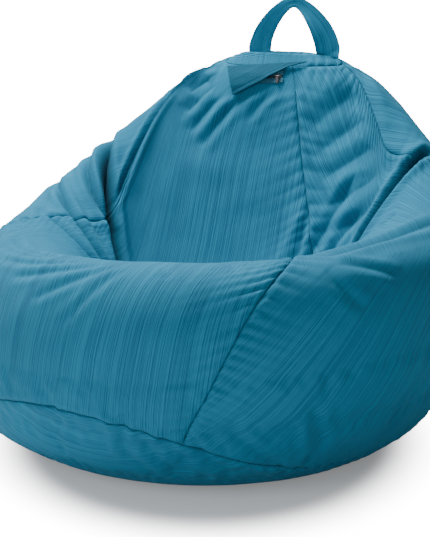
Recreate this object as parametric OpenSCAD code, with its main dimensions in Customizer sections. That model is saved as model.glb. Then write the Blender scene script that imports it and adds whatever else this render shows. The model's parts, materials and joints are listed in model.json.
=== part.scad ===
// Teardrop bean bag chair. The front faces -Y, +Z is up, and the origin lies on the floor
// in the middle of the base. Lengths are in millimetres.

/* [Overall] */
// Width across the arms at their widest
chair_w = 1116; // [900:4:1340]
// Depth from the front bulge to the back bulge
chair_d = 1109; // [900:4:1340]
// Height of the crest of the backrest
chair_h = 805; // [660:5:960]

/* [Base] */
// Height of the seam that joins the base panel to the side panels
base_seam_h = 140; // [110:5:170]
// How far the filled bag has shifted to the right of its base
slump = 25; // [0:5:50]
// How far the crest leans further to the right
crest_shift = 18; // [0:2:30]

/* [Seat] */
// Height of the lowest point of the seat
seat_h = 215; // [170:5:260]
// Height of the front lip and of the arms
arm_h = 490; // [440:5:580]
// How much higher the right arm stands than the middle
lean = 30; // [0:5:50]

/* [Cover] */
// Thickness of the ribbed cover cloth with its backing
cover_t = 2.4; // [1.6:0.2:3.2]
// Gap left between two panels along a seam
seam_gap = 0.4; // [0.2:0.1:0.8]
// Columns of facets across one side panel
panel_cols = 6; // [4:1:8]

/* [Filling] */
// Thickness of the liner bag's cloth
liner_t = 1; // [0.6:0.1:1.6]
// Gap between one layer and the next
layer_gap = 0.7; // [0.4:0.1:0.9]

/* [Handle] */
// Width of the handle strap
strap_w = 55; // [35:1:70]
// Thickness of the doubled strap
strap_t = 5; // [3:0.5:7]
// Distance between the middles of the two strap ends
handle_span = 167; // [130:1:190]
// Height of the handle above its hinge line
handle_rise = 124; // [90:2:160]
// Height of the gap under the handle
grip_rise = 94; // [60:2:110]
// How far the middle of the handle stands to the right of the middle of the crest
handle_off = 18; // [0:1:30]

/* [Zip] */
// Length of the zip chain
zip_l = 116; // [90:2:140]
// Width of one zip tape
tape_w = 14; // [10:1:18]
// Thickness of the zip tape
tape_t = 1; // [0.6:0.1:1.4]
// Width of the closed chain of teeth
chain_w = 6; // [4:0.5:8]
// Thickness of the chain of teeth
chain_t = 2; // [1.6:0.1:2.6]
// Distance from one tooth to the next
tooth_pitch = 4; // [2.5:0.5:6]
// Width of the slider
slider_w = 10; // [8:0.5:13]
// Length of the slider
slider_l = 12; // [9:0.5:16]
// Length of the pull tab
pull_l = 17; // [12:1:20]
// Width of the pull tab
pull_w = 6; // [4:0.5:8]
// Thickness of the pull tab
pull_t = 1.4; // [1:0.1:1.8]

/* [Flap] */
// Length of the flap's sewn edge
flap_l = 194; // [160:2:220]
// Depth of the flap at its wide left end
flap_w = 74; // [60:1:90]
// Thickness of the folded flap
flap_t = 2.4; // [1.6:0.2:3.6]

/* [Hidden] */

cloth = "#1c7384";
cloth_light = "#2b899a";
liner_colour = "#e9e6df";
metal = "#b9bcc0";
fn_round = 32;

// ---- Shape of the filled bag ----
// Each row is one ring of the net that steers the surface, from the floor over the arms, down
// into the seat and up to the crest: seven points [right, back, up] from the front (first) round
// the right side to the back (last), in centimetres at the nominal size. The left side mirrors it.
function floor_ring(r, z) = [for (a = [0 : 30 : 180]) [r * sin(a), -r * cos(a), z]];
NET = [
    floor_ring(0.1, 0),
    floor_ring(16.5, 0),
    floor_ring(33, 0),
    floor_ring(45, 1.5),
    floor_ring(54.5, 12.5),
    [[0,-58,27], [29,-51,27], [50.5,-30,27], [58.5,-1,28], [52,29,28], [30,51,28], [0,58,28]],
    [[0,-58,40], [29,-50,40], [50,-29,40], [58,0,40], [52,29,42], [30,51,42], [0,58,42]],
    [[0,-49,49.5], [27,-45,48.5], [46.5,-28,47], [55,2,46], [50,29,53], [29,50,55], [0,55,55]],
    [[0,-36,48], [21,-33,47.5], [38,-20,49], [46.5,4,50], [43.5,28,61], [26,47,65], [0,52,66]],
    [[0,-24,35], [16,-22,36], [29,-13,43], [38,7,48], [38,28,66], [23,44,72], [0,50,73]],
    [[0,-12,23], [14,-11,24], [24,-3,32], [32,12,43], [33.5,29,70], [20,42,76], [0,48,77]],
    [[0,3,20], [14,3,21], [24,6,29], [30.5,15,46], [29,30,73], [17.5,40.5,78], [0,46,79]],
    [[0,15,32], [14,14,33], [24,15,41], [28.5,22,56], [26.5,31,74.5], [16,39.5,78.5], [0,44,80]],
    [[0,22,49], [13.5,21,50], [22,22,55], [25,27,66], [22.5,33,75.5], [15,39.5,78], [0,43.5,79]],
    [[0,27,63], [12,27,63], [19,28.5,65.5], [21.5,31.5,72], [19.5,35.5,77], [13.5,39.5,79], [0,42,80]],
    [[0,31,74.5], [9,31,74.5], [14.5,32.5,75.5], [17,35,77], [15.5,37.5,79], [10.5,39.5,80.3], [0,40.5,80.5]],
    [[0,35.4,80.5], [5,35.4,80.5], [9.5,35.7,80.5], [11.5,37,80.4], [9.5,38.3,80.5], [5,38.6,80.5], [0,38.6,80.5]],
];
NOMINAL_W = 1116;
NOMINAL_D = 1109;
// Nominal heights in centimetres, and the sizes that set them
HEIGHTS = [[0, 0], [14, base_seam_h], [21.5, seat_h], [49, arm_h], [80.5, chair_h], [100, chair_h + 195]];
SHIFTS = [[0, 0], [35, slump], [62, slump], [76, slump + crest_shift], [100, slump + crest_shift]];
TOP_RING = len(NET) - 1;
CREST_Y = 370;
crest_x = slump + crest_shift;
crest_y = CREST_Y * chair_d / NOMINAL_D;

function placed(p) = [
    p.x * 10 * chair_w / NOMINAL_W + lookup(p.z, SHIFTS),
    p.y * 10 * chair_d / NOMINAL_D,
    lookup(p.z, HEIGHTS) + lean * max(-1, min(1, p.x / 50)) * sin(180 * min(1, p.z / 80.5))
];
function whole_ring(half) = concat(
    [for (k = [0 : 6]) placed(half[k])],
    [for (k = [5 : -1 : 1]) placed([-half[k].x, half[k].y, half[k].z])]
);
RINGS = [for (half = NET) whole_ring(half)];
// One ring beyond each end, so that the surface starts and stops on the end rings
FIRST = [for (k = [0 : 11]) 2 * RINGS[0][k] - RINGS[1][k]];
LAST = [for (k = [0 : 11]) 2 * RINGS[TOP_RING][k] - RINGS[TOP_RING - 1][k]];
CAGE = concat([FIRST], RINGS, [LAST]);

// Weights of the four neighbouring net points on a cubic spline, and their slopes
function weights(t) = [pow(1 - t, 3), 3 * pow(t, 3) - 6 * t * t + 4,
    -3 * pow(t, 3) + 3 * t * t + 3 * t + 1, pow(t, 3)] / 6;
function slopes(t) = [-pow(1 - t, 2), 3 * t * t - 4 * t, -3 * t * t + 2 * t + 1, t * t] / 2;
function blend(i, j, wu, wv) = wv * [for (b = [0 : 3]) wu * [for (a = [0 : 3]) CAGE[j + b][(i + a + 11) % 12]]];

// Point of the bag at station u (twelve round the bag) and ring v, depth below the outside
function bag_point(u, v, depth = 0) =
    let (uu = u - 12 * floor(u / 12), vv = min(v, TOP_RING - 0.0001),
        i = floor(uu), j = floor(vv), wu = weights(uu - i), wv = weights(vv - j),
        at = blend(i, j, wu, wv),
        across = cross(blend(i, j, slopes(uu - i), wv), blend(i, j, wu, slopes(vv - j))),
        outward = across / norm(across) + (v < TOP_RING ? [0, 0, 0] : [0, 0, 1.5]))
    at - depth * outward / norm(outward) * (v < TOP_RING ? 1 : 1.2);

// ---- Seams: the station of each seam at a few rings ----
BASE_RING = 4.25;
CREST_RING = 15;
SEAM_RIGHT_FRONT = [[4.25, 0.55], [6, 0.88], [7.1, 1.22], [9, 1.5], [11.5, 1.5], [12.9, 1.1], [14, 0.8], [15, 0.85]];
SEAM_RIGHT_BACK = [[4.25, 3.6], [9, 3.7], [15, 3.3]];
SEAM_LEFT_BACK = [[4.25, 6.55], [9, 6.4], [15, 5.9]];
SEAM_LEFT_FRONT = [[4.25, 9.5], [7.5, 9.45], [9.9, 9.1], [10.6, 8.5], [11.7, 7.75], [15, 7.6]];
function seam(k, v) = k == 4 ? seam(0, v) + 12 :
    lookup(v, [SEAM_RIGHT_FRONT, SEAM_RIGHT_BACK, SEAM_LEFT_BACK, SEAM_LEFT_FRONT][k]);
function held(v) = max(BASE_RING, min(CREST_RING, v));

PANEL_RINGS = [for (v = [BASE_RING : 0.5 : 14.75]) v, CREST_RING];
BASE_RINGS = [1, 2, 2.7, 3.4, BASE_RING];
CREST_RINGS = [CREST_RING, 15.4, 15.75, TOP_RING];
ALL_RINGS = concat(BASE_RINGS, [for (k = [1 : len(PANEL_RINGS) - 1]) PANEL_RINGS[k]],
    [for (k = [1 : len(CREST_RINGS) - 1]) CREST_RINGS[k]]);

// Stations across side panel k, and round the whole bag, at ring v
function across_panel(k, v) = [for (c = [0 : panel_cols])
    seam(k, held(v)) + (seam(k + 1, held(v)) - seam(k, held(v))) * c / panel_cols];
function round_bag(v) = [for (k = [0 : 3]) for (c = [0 : panel_cols - 1])
    seam(k, held(v)) + (seam(k + 1, held(v)) - seam(k, held(v))) * c / panel_cols];
function panel_grid(k, depth) = [for (v = PANEL_RINGS) [for (u = across_panel(k, v)) bag_point(u, v, depth)]];
function round_grid(rings, depth) = [for (v = rings) [for (u = round_bag(v)) bag_point(u, v, depth)]];

// ---- Closed solids from grids of points ----
function mean(points) = [for (p = points) 1] * points / len(points);
function drawn_in(from, to) = from + (to - from) / norm(to - from) * seam_gap / 2;
function trim_rows(g) = [for (j = [0 : len(g) - 1]) [for (i = [0 : len(g[0]) - 1])
    j == 0 ? drawn_in(g[0][i], g[1][i]) :
    j == len(g) - 1 ? drawn_in(g[j][i], g[j - 1][i]) : g[j][i]]];
function trim_cols(g) = [for (row = g) let (n = len(row) - 1)
    concat([drawn_in(row[0], row[1])], [for (i = [1 : n - 1]) row[i]], [drawn_in(row[n], row[n - 1])])];

function quads(rows, cols, wrap, start, flip) = [for (j = [0 : rows - 2], i = [0 : cols - (wrap ? 1 : 2)])
    let (a = start + j * cols + i, b = start + j * cols + (i + 1) % cols, c = b + cols, d = a + cols)
    for (t = flip ? [[a, c, d], [a, b, c]] : [[a, d, c], [a, c, b]]) t];
// The edge wall from the outer to the inner grid. Two walls that meet along a seam run opposite
// ways, so one of them splits its quads the other way to match.
function rim(outer, inner, n, wrap, flip = false) = [for (i = [0 : n - (wrap ? 1 : 2)])
    let (a = outer[i], b = outer[(i + 1) % n], c = inner[(i + 1) % n], d = inner[i])
    for (t = flip ? [[a, b, d], [b, c, d]] : [[a, b, c], [a, c, d]]) t];
function fan(row, tip) = [for (i = [0 : len(row) - 1]) [row[i], row[(i + 1) % len(row)], tip]];
function flat(g) = [for (row = g) for (p = row) p];
function reversed(list) = [for (i = [len(list) - 1 : -1 : 0]) list[i]];

// A layer of cloth between an outer and an inner grid that end at four edges
module cloth_patch(outer, inner) {
    rows = len(outer);
    cols = len(outer[0]);
    half = rows * cols;
    bottom = [for (i = [0 : cols - 1]) i];
    top = [for (i = [0 : cols - 1]) (rows - 1) * cols + i];
    left = [for (j = [0 : rows - 1]) j * cols];
    right = [for (j = [0 : rows - 1]) j * cols + cols - 1];
    shift = function (list) [for (n = list) n + half];
    polyhedron(concat(flat(outer), flat(inner)), concat(
        quads(rows, cols, false, 0, false), quads(rows, cols, false, half, true),
        rim(bottom, shift(bottom), cols, false),
        rim(reversed(top), shift(reversed(top)), cols, false, true),
        rim(reversed(left), shift(reversed(left)), rows, false, true),
        rim(right, shift(right), rows, false)), convexity = 6);
}

// A layer of cloth that runs all round: closed below, above, or both
module cloth_bowl(outer, inner, floor_end, crest_end) {
    rows = len(outer);
    cols = len(outer[0]);
    half = rows * cols;
    bottom = [for (i = [0 : cols - 1]) i];
    top = reversed([for (i = [0 : cols - 1]) (rows - 1) * cols + i]);
    shift = function (list) [for (n = list) n + half];
    tips = [mean(outer[0]), mean(inner[0]), mean(outer[rows - 1]), mean(inner[rows - 1])];
    tip = 2 * half;
    polyhedron(concat(flat(outer), flat(inner), tips), concat(
        quads(rows, cols, true, 0, false), quads(rows, cols, true, half, true),
        floor_end ? concat(fan(bottom, tip), fan(reversed(shift(bottom)), tip + 1))
            : rim(bottom, shift(bottom), cols, true),
        crest_end ? concat(fan(top, tip + 2), fan(reversed(shift(top)), tip + 3))
            : rim(top, shift(top), cols, true, true)), convexity = 6);
}

// A filled body inside one closed grid
module filled_body(outer) {
    rows = len(outer);
    cols = len(outer[0]);
    bottom = [for (i = [0 : cols - 1]) i];
    top = reversed([for (i = [0 : cols - 1]) (rows - 1) * cols + i]);
    tip = rows * cols;
    polyhedron(concat(flat(outer), [mean(outer[0]), mean(outer[rows - 1])]), concat(
        quads(rows, cols, true, 0, false), fan(bottom, tip), fan(top, tip + 1)), convexity = 6);
}

module side_panel(k) {
    cloth_patch(trim_cols(trim_rows(panel_grid(k, 0))), trim_cols(trim_rows(panel_grid(k, cover_t))));
}

// ---- Cover, liner and filling ----
module front_panel() {
    color(cloth) side_panel(3);
}
module right_panel() {
    color(cloth_light) side_panel(0);
}
module back_panel() {
    color(cloth) side_panel(1);
}
module left_panel() {
    color(cloth_light) side_panel(2);
}
function open_top(g) = [for (j = [0 : len(g) - 1]) j < len(g) - 1 ? g[j] : trim_rows(g)[j]];
function open_foot(g) = [for (j = [0 : len(g) - 1]) j > 0 ? g[j] : trim_rows(g)[0]];
module base_panel() {
    color(cloth) cloth_bowl(open_top(round_grid(BASE_RINGS, 0)),
        open_top(round_grid(BASE_RINGS, cover_t)), true, false);
}
module top_panel() {
    color(cloth) cloth_bowl(open_foot(round_grid(CREST_RINGS, 0)),
        open_foot(round_grid(CREST_RINGS, cover_t)), false, true);
}
liner_depth = cover_t + layer_gap;
fill_depth = liner_depth + liner_t + layer_gap;
// The liner ends in a long narrow mouth under the top panel, where it is filled
module inner_liner() {
    color(liner_colour) cloth_bowl(round_grid(ALL_RINGS, liner_depth),
        round_grid(ALL_RINGS, liner_depth + liner_t), true, false);
}
module bead_filling() {
    color("white") filled_body(round_grid(ALL_RINGS, fill_depth));
}

// ---- Carry handle on the crest ----
crest_h = max([for (v = CREST_RINGS) for (u = round_bag(v)) bag_point(u, v).z]);
handle_x = crest_x + handle_off;
handle_y = crest_y + 2;
strap_gap = 0.3;
tab_h = 8;
hinge_h = crest_h + strap_gap + tab_h + strap_gap + strap_t / 2;
module arch(half_span, rise) {
    polygon([for (a = [0 : 7.5 : 180]) [half_span * cos(a), rise * sin(a)]]);
}
module carry_handle() {
    color(cloth_light) translate([handle_x, handle_y, hinge_h]) rotate([90, 0, 0]) {
        translate([0, 0, -strap_t / 2]) linear_extrude(strap_t) difference() {
            arch((handle_span + strap_w) / 2, handle_rise);
            arch((handle_span - strap_w) / 2, grip_rise);
        }
        for (side = [-1, 1])
            translate([side * handle_span / 2 - strap_w / 2, 0, 0]) rotate([0, 90, 0])
                cylinder(d = strap_t, h = strap_w, $fn = fn_round);
    }
}
// The sewn end of the strap, which stands up out of the crest seam
module handle_tab(side) {
    color(cloth_light)
        translate([handle_x + side * handle_span / 2, handle_y, crest_h + strap_gap + tab_h / 2])
            cube([strap_w, strap_t, tab_h], center = true);
}
module handle_tab_left() {
    handle_tab(-1);
}
module handle_tab_right() {
    handle_tab(1);
}

// ---- Flap and zip on the front of the crest ----
// They lie on one flat bed that leans back by bed_lean and drops to the left by bed_drop.
bed_drop = 6;
// The backrest steepens with its rise above the arms, 315 mm here, and the bed leans with it
bed_rise = (chair_h - arm_h) / 315;
bed_lean = atan(tan(63) * bed_rise);
bed_x = crest_x - 33;
bed_y = crest_y - 32;
bed_z = chair_h - 25 * bed_rise;
bed_right = [cos(bed_drop), sin(bed_drop) * cos(bed_lean), sin(bed_drop) * sin(bed_lean)];
bed_out = [0, -sin(bed_lean), cos(bed_lean)];
bed_up = cross(bed_out, bed_right);
function on_bed(p) = let (d = p - [bed_x, bed_y, bed_z]) abs(d * bed_right) < flap_l / 2 && d * bed_up < 0
    && d * bed_up > -flap_w;
// How far the bag bulges through the bed there, which lifts everything on it
bed_lift = max([for (g = [panel_grid(3, 0), round_grid(CREST_RINGS, 0)]) for (p = flat(g))
    if (on_bed(p)) (p - [bed_x, bed_y, bed_z]) * bed_out]) + layer_gap;
module on_zip_bed() {
    translate([bed_x, bed_y, bed_z] + bed_lift * bed_out) rotate([bed_lean, 0, 0]) rotate([0, 0, bed_drop])
        children();
}

fit = 0.4;
zip_x = 36;
zip_y = -33;
plate_t = 1;
chain_z = fit + plate_t;
tape_z = chain_z + (chain_t - tape_t) / 2;
top_plate_z = chain_z + chain_t + fit;
pull_z = top_plate_z + plate_t + 1.6;
ear_r = 1.4;
flap_z = pull_z + ear_r + fit + flap_t / 2;

// One tape: a thick hem on the cover and a thin edge that reaches the teeth. The upper one runs
// on up to the seam that holds the flap.
module zip_tape(side) {
    color(cloth) on_zip_bed() translate([zip_x - zip_l - 6, zip_y, 0]) {
        inner_edge = chain_w / 2 + 0.3;
        hem_edge = slider_w / 2 + 1;
        translate([0, side > 0 ? inner_edge : -tape_w, tape_z])
            cube([zip_l + 12, tape_w - inner_edge, tape_t]);
        translate([0, side > 0 ? hem_edge : -tape_w, 0])
            cube([zip_l + 12, tape_w - hem_edge, tape_z + tape_t]);
        if (side > 0)
            translate([0, hem_edge, 0]) cube([zip_l + 12, -zip_y - hem_edge, tape_t]);
    }
}
// A row of teeth on one tape. The two rows leave a channel for the slider's wedge.
wedge_w = 0.8;
module zip_teeth(side) {
    count = floor(zip_l / tooth_pitch);
    tooth_w = chain_w / 2 - wedge_w / 2 - 0.3;
    color(metal) on_zip_bed() for (n = [0 : count - 1])
        translate([zip_x - (n + (side > 0 ? 0.5 : 1)) * tooth_pitch,
            zip_y + (side > 0 ? wedge_w / 2 + 0.3 : -chain_w / 2), chain_z])
            cube([tooth_pitch / 2, tooth_w, chain_t]);
}
module zip_tape_upper() {
    zip_tape(1);
}
module zip_tape_lower() {
    zip_tape(-1);
}
module zip_teeth_upper() {
    zip_teeth(1);
}
module zip_teeth_lower() {
    zip_teeth(-1);
}

// The slider: two plates joined by the wedge that parts the teeth, with side flanges above and
// below the tapes, and two ears on top that carry the pull's pin
slider_x = zip_x - slider_l / 2 - 1;
flange_t = 0.8;
pin_r = 0.7;
pin_fit = 0.08;
ear_t = 1;
ear_gap = pull_w / 2 + 0.3;
ear_h = pull_z - top_plate_z - plate_t;
module slider_plate(z, t, flange_z, flange_h) {
    translate([-slider_l / 2, -slider_w / 2, z]) cube([slider_l, slider_w, t]);
    for (y = [-slider_w / 2, slider_w / 2 - flange_t])
        translate([-slider_l / 2, y, flange_z]) cube([slider_l, flange_t, flange_h]);
}
module zip_slider() {
    color(metal) on_zip_bed() translate([slider_x, zip_y, 0]) {
        slider_plate(fit / 2, plate_t - fit / 2, plate_t, tape_z - fit - plate_t);
        slider_plate(top_plate_z - fit, plate_t + fit, tape_z + tape_t + fit,
            top_plate_z - tape_z - tape_t - fit);
        translate([slider_l / 2 - 3, -wedge_w / 2, plate_t]) cube([3, wedge_w, top_plate_z - plate_t]);
        for (x = [-ear_gap - ear_t, ear_gap]) translate([x, 0, top_plate_z + plate_t]) {
            translate([0, -ear_r, 0]) cube([ear_t, 2 * ear_r, ear_h]);
            translate([0, 0, ear_h]) rotate([0, 90, 0]) cylinder(r = ear_r, h = ear_t, $fn = fn_round);
        }
        translate([-ear_gap - ear_t / 2, 0, pull_z]) rotate([0, 90, 0])
            cylinder(r = pin_r, h = 2 * ear_gap + ear_t, $fn = fn_round);
    }
}
// The pull hangs on the pin by its eye and widens to a rounded tab
module zip_pull() {
    eye_r = pin_r + pin_fit + 0.6;
    color(metal) on_zip_bed() translate([slider_x, zip_y, pull_z]) difference() {
        union() {
            translate([-pull_w / 2, 0, 0]) rotate([0, 90, 0]) cylinder(r = eye_r, h = pull_w, $fn = fn_round);
            translate([-pull_w / 2, -pull_l + pull_w / 2, -pull_t / 2])
                cube([pull_w, pull_l - pull_w / 2, pull_t]);
            translate([0, -pull_l + pull_w / 2, -pull_t / 2]) cylinder(d = pull_w, h = pull_t, $fn = fn_round);
        }
        translate([-pull_w, 0, 0]) rotate([0, 90, 0])
            cylinder(r = pin_r + pin_fit, h = 2 * pull_w, $fn = fn_round);
        translate([0, -pull_l + pull_w / 2, -pull_t]) cylinder(d = pull_w * 0.4, h = 2 * pull_t, $fn = fn_round);
    }
}
module zip_stop(x) {
    color(metal) on_zip_bed() translate([x, zip_y - chain_w / 2, chain_z]) cube([2, chain_w, chain_t]);
}
module zip_stop_closed() {
    zip_stop(zip_x + 0.4);
}
module zip_stop_open() {
    zip_stop(zip_x - zip_l - 3);
}

// The flap hangs from a beaded edge sewn along its top, stands up over the zip like a tent, and
// tapers to a point on the right.
flap_r = flap_t / 2;
flap_hinge_z = tape_t + fit + flap_r;
module flap_outline() {
    polygon([[-flap_l / 2, 0], [-flap_l / 2 + 20, -flap_w], [-9, -0.58 * flap_w],
        [21, -0.36 * flap_w], [54, -0.14 * flap_w], [flap_l / 2, 0]]);
}
module flap_profile() {
    clear_z = flap_z - flap_hinge_z;
    under = [[0, 0], [zip_y + ear_r + fit, clear_z], [zip_y - pull_l - fit, clear_z],
        [-flap_w - 1, clear_z - 5]];
    polygon(concat([for (p = under) [p.x, p.y - flap_r]], [for (p = reversed(under)) [p.x, p.y + flap_r]]));
}
module zip_flap() {
    color(cloth_light) on_zip_bed() translate([0, 0, flap_hinge_z]) {
        intersection() {
            translate([0, 0, -5]) linear_extrude(25) flap_outline();
            translate([-flap_l / 2, 0, 0]) rotate([90, 0, 90]) linear_extrude(flap_l) flap_profile();
        }
        translate([-flap_l / 2, 0, 0]) rotate([0, 90, 0]) cylinder(r = flap_r, h = flap_l - 6, $fn = fn_round);
    }
}

front_panel();
right_panel();
back_panel();
left_panel();
base_panel();
top_panel();
inner_liner();
bead_filling();
carry_handle();
handle_tab_left();
handle_tab_right();
zip_flap();
zip_tape_upper();
zip_tape_lower();
zip_teeth_upper();
zip_teeth_lower();
zip_slider();
zip_pull();
zip_stop_closed();
zip_stop_open();
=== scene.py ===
import json
import math

import bpy
import numpy as np
from bpy.props import FloatProperty, FloatVectorProperty, IntProperty, PointerProperty
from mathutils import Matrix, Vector


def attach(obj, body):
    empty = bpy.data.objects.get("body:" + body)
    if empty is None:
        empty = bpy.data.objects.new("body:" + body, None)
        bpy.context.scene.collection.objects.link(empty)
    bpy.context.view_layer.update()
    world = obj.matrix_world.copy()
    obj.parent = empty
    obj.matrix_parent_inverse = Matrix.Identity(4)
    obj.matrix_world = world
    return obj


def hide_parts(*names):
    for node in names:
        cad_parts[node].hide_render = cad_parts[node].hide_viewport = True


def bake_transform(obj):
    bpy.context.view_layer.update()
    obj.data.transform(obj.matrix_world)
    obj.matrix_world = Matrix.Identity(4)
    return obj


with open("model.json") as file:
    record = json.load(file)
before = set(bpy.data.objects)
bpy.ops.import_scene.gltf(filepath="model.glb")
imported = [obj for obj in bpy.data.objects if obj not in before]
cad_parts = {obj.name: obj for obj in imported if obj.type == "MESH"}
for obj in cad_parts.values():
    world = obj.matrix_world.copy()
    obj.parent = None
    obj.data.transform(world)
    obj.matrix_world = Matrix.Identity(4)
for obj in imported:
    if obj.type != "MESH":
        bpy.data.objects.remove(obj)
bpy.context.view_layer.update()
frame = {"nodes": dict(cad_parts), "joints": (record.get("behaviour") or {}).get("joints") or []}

bl_info = {
    "name": "Bean Bag Chair",
    "version": (1, 0, 0),
    "blender": (4, 5, 0),
    "location": "3D View > Sidebar > Bean Bag",
    "description": "Dresses the packed bean bag chair in its sewn cover, strap, flap and zip",
    "category": "Add Mesh",
}


# ---- Sizes and colours that a user would change ----

def length(name, description, default):
    return FloatProperty(name=name, description=description, default=default, unit="LENGTH")


class BagSizes(bpy.types.PropertyGroup):
    width: length("Width", "Across the arms", 1.116)
    depth: length("Depth", "From the front to the back", 1.109)
    height: length("Height", "Floor to the crest", 0.805)
    base_seam: length("Base seam", "Height of the base seam", 0.14)
    seat: length("Seat", "Height of the pressed seat", 0.215)
    arms: length("Arms", "Height of the arms", 0.49)
    slump: length("Slump", "How far the filling leans right", 0.025)
    crest_shift: length("Crest shift", "How far the crest leans right of that", 0.018)
    lean: length("Lean", "How much higher the right side stands", 0.03)


class CoverLook(bpy.types.PropertyGroup):
    cloth_thickness: length("Cloth", "Thickness of the cover cloth", 0.0014)
    rib_pitch: length("Rib pitch", "Mean distance between the ribs", 0.0048)
    pucker: length("Pucker", "Height of the puckers along the seams", 0.0048)
    fold_scale: FloatProperty(name="Folds", description="Strength of the folds in the cover", default=1.0,
                              min=0.0, max=1.5)
    swell: length("Swell", "Most that a point may move in the simulation", 0.0065)
    ridge_colour: FloatVectorProperty(name="Rib tops", description="Colour of the rib tops", subtype="COLOR",
                                      size=3, default=(0.016, 0.2, 0.315))
    valley_colour: FloatVectorProperty(name="Rib valleys", description="Colour between the ribs",
                                       subtype="COLOR", size=3, default=(0.013, 0.066, 0.135))


class StrapSizes(bpy.types.PropertyGroup):
    span: length("Foot span", "Between the middles of the strap's feet", 0.167)
    width: length("Strap width", "Width of the doubled strap at its feet", 0.055)
    rise: length("Rise", "Hinge line to the outer edge at the top", 0.124)
    grip: length("Grip rise", "Hinge line to the inner edge at the top", 0.094)
    thickness: length("Strap thickness", "Both layers together", 0.005)


class StageLook(bpy.types.PropertyGroup):
    azimuth: FloatProperty(name="Azimuth", description="Camera angle round the chair",
                           default=math.radians(22), subtype="ANGLE")
    elevation: FloatProperty(name="Elevation", description="Camera angle above the floor",
                             default=math.radians(14), subtype="ANGLE")
    distance: length("Distance", "Camera to its target", 3.6)
    lens: FloatProperty(name="Lens", description="Focal length in millimetres", default=110.0)
    key_power: FloatProperty(name="Key", description="Power of the overhead light", default=222.0)
    fill_power: FloatProperty(name="Fill", description="Power of the front light", default=41.0)
    floor_colour: FloatVectorProperty(name="Floor", description="Colour of the floor", subtype="COLOR",
                                      size=3, default=(0.86, 0.87, 0.88))


# ---- The filled bag: a smooth surface over a net of 17 rings by 12 stations ----
# u counts twelve stations round the bag from the front over its right side, v the rings from the
# middle of the floor over the arms, down into the seat and up to the crest.

def floor_ring(radius, height):
    turns = [math.radians(a) for a in range(0, 181, 30)]
    return [[radius * math.sin(a), -radius * math.cos(a), height] for a in turns]


NET = [
    floor_ring(0.1, 0), floor_ring(16.5, 0), floor_ring(33, 0), floor_ring(45, 1.5), floor_ring(54.5, 12.5),
    [[0, -58, 27], [29, -51, 27], [50.5, -30, 27], [58.5, -1, 28], [52, 29, 28], [30, 51, 28], [0, 58, 28]],
    [[0, -58, 40], [29, -50, 40], [50, -29, 40], [58, 0, 40], [52, 29, 42], [30, 51, 42], [0, 58, 42]],
    [[0, -49, 49.5], [27, -45, 48.5], [46.5, -28, 47], [55, 2, 46], [50, 29, 53], [29, 50, 55], [0, 55, 55]],
    [[0, -36, 48], [21, -33, 47.5], [38, -20, 49], [46.5, 4, 50], [43.5, 28, 61], [26, 47, 65], [0, 52, 66]],
    [[0, -24, 35], [16, -22, 36], [29, -13, 43], [38, 7, 48], [38, 28, 66], [23, 44, 72], [0, 50, 73]],
    [[0, -12, 23], [14, -11, 24], [24, -3, 32], [32, 12, 43], [33.5, 29, 70], [20, 42, 76], [0, 48, 77]],
    [[0, 3, 20], [14, 3, 21], [24, 6, 29], [30.5, 15, 46], [29, 30, 73], [17.5, 40.5, 78], [0, 46, 79]],
    [[0, 15, 32], [14, 14, 33], [24, 15, 41], [28.5, 22, 56], [26.5, 31, 74.5], [16, 39.5, 78.5],
     [0, 44, 80]],
    [[0, 22, 49], [13.5, 21, 50], [22, 22, 55], [25, 27, 66], [22.5, 33, 75.5], [15, 39.5, 78],
     [0, 43.5, 79]],
    [[0, 27, 63], [12, 27, 63], [19, 28.5, 65.5], [21.5, 31.5, 72], [19.5, 35.5, 77], [13.5, 39.5, 79],
     [0, 42, 80]],
    [[0, 31, 74.5], [9, 31, 74.5], [14.5, 32.5, 75.5], [17, 35, 77], [15.5, 37.5, 79], [10.5, 39.5, 80.3],
     [0, 40.5, 80.5]],
    [[0, 35.4, 80.5], [5, 35.4, 80.5], [9.5, 35.7, 80.5], [11.5, 37, 80.4], [9.5, 38.3, 80.5],
     [5, 38.6, 80.5], [0, 38.6, 80.5]],
]
TOP_RING = len(NET) - 1
BASE_RING = 4.25
CREST_RING = 15.0
# The line of each side seam: its station at a few rings
SEAMS = [
    ([4.25, 6, 7.5, 9.5, 11.5, 13, 15], [0.5, 0.9, 1.3, 1.5, 1.5, 1.0, 0.4]),
    ([4.25, 9, 15], [3.6, 3.7, 3.3]),
    ([4.25, 9, 15], [6.5, 6.4, 5.9]),
    ([4.25, 7.5, 10, 11, 12, 15], [9.5, 9.5, 9.1, 8.2, 7.75, 7.6]),
]
PANELS = ["right_panel", "back_panel", "left_panel", "front_panel"]
BASE_RISE = (-0.5, 0.9, 0.4)  # the base seam climbs left of the front: station, reach, rings
BASE_DIP = (1.9, 1.1, 0.85)  # and sinks under the right panel
CREST_RISE = 0.6  # the top panel's seam runs higher all along the front
# The thread line of each side panel, which its ribs run beside: station at a few rings
GRAINS = [
    ([4.25, 7.1, 9, 12, 15], [1.35, 2.75, 3.1, 2.8, 1.7]),
    ([4.25, 15], [5.0, 4.7]),
    ([4.25, 15], [8.0, 6.9]),
    ([4.25, 7, 10, 15], [11.45, 11.6, 11.5, 11.4]),
]


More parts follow.
